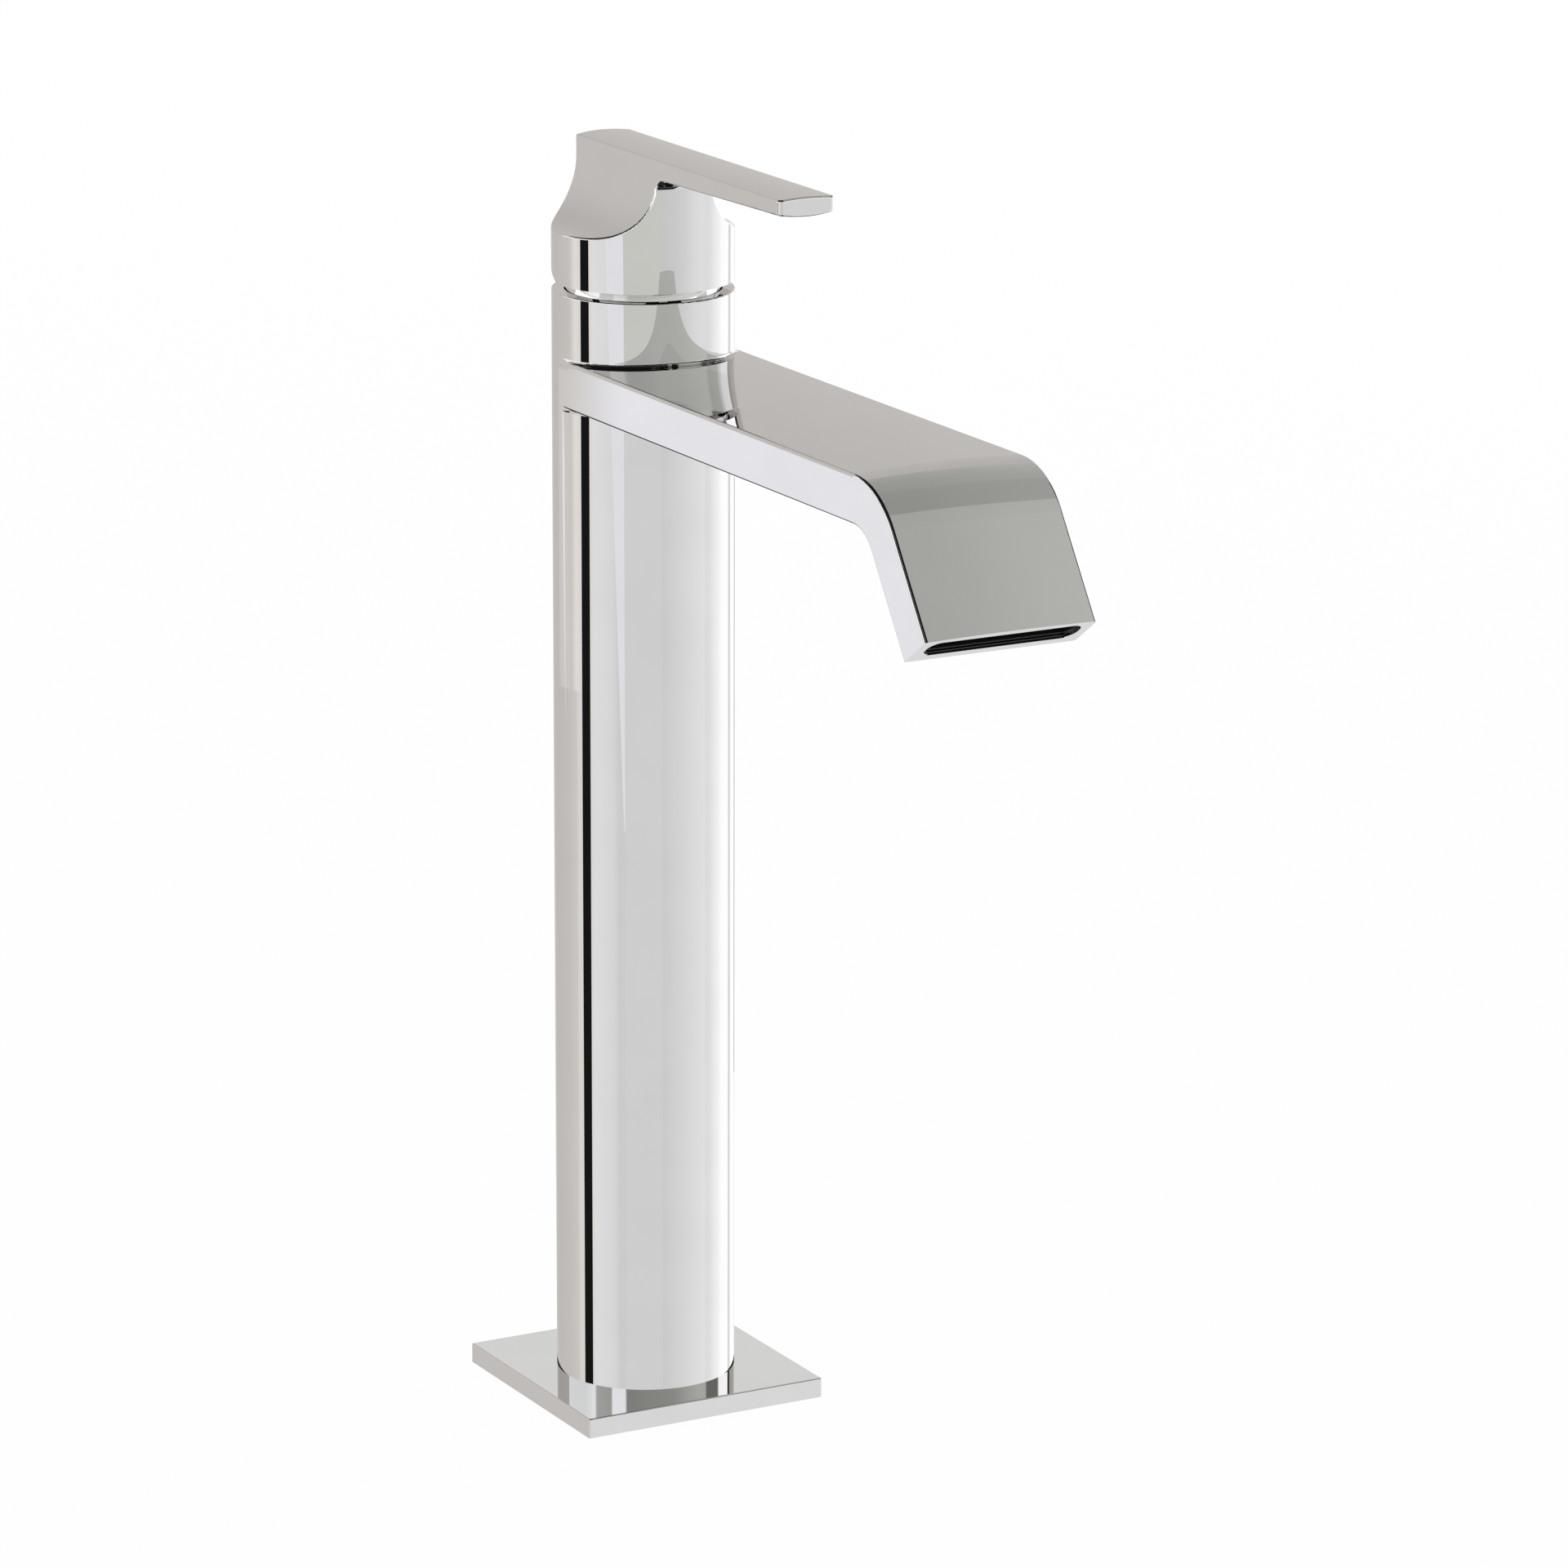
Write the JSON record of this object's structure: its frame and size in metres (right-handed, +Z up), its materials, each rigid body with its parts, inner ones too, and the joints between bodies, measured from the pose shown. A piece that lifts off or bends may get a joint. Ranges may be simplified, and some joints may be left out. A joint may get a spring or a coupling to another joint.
{
  "type": "basin mixer tap",
  "caption": "Tall single-lever basin mixer tap with a round column on a square plate, a flat bent spout with a slot outlet and a scooped lever over a ceramic-disc cartridge.",
  "frame": {"origin": "on the surface the tap stands on, under the axis of the column", "axes": "+Z up along the column, -Y along the spout and the lever, +X to the right of someone at the basin"},
  "size_m": [0.066, 0.2131, 0.3179],
  "materials": {
    "chrome": "polished",
    "brass": "machined",
    "copper": "drawn copper",
    "steel": "turned",
    "rubber": "matt",
    "ceramic": "lapped",
    "cartridge_plastic": "moulded",
    "outlet_plastic": "moulded",
    "plug_plastic": "moulded"
  },
  "bodies": {
    "tap": {"base_plate": "chrome", "base_gasket": "rubber", "body": "chrome", "foot_insert": "brass", "hot_inlet_tube": "copper", "cold_inlet_tube": "copper", "cartridge_housing": "cartridge_plastic", "chamber_ring": "rubber", "cartridge_base": "cartridge_plastic", "inlet_seals": "rubber", "fixed_disc": "ceramic", "retaining_nut": "brass", "cover_ring": "chrome", "aerator_housing": "outlet_plastic", "aerator_grille": "outlet_plastic", "aerator_screen": "steel", "aerator_seal": "rubber"},
    "turret": {"spindle_guide": "cartridge_plastic", "pivot_pin": "steel"},
    "lever": {"handle": "chrome", "control_stem": "steel", "grub_screw": "steel", "index_plug": "plug_plastic"},
    "disc": {"moving_disc": "ceramic", "disc_carrier": "cartridge_plastic"}
  },
  "joints": [
    {"name": "handle_swivel", "type": "hinge", "parent": "tap", "child": "turret", "pos_m": [0, 0, 0.284], "axis": [0, 0, 1], "range_deg": [-45, 45]},
    {"name": "handle_lift", "type": "hinge", "parent": "turret", "child": "lever", "pos_m": [0, 0, 0.284], "axis": [-1, 0, 0], "range_deg": [0, 20]},
    {"name": "disc_slide", "type": "slide", "parent": "turret", "child": "disc", "axis": [0, -1, 0], "range_m": [0, 0.00646]}
  ],
  "couplings": [
    {"joint": "disc_slide", "follows": "handle_lift", "m_per_rad": 0.0185}
  ]
}
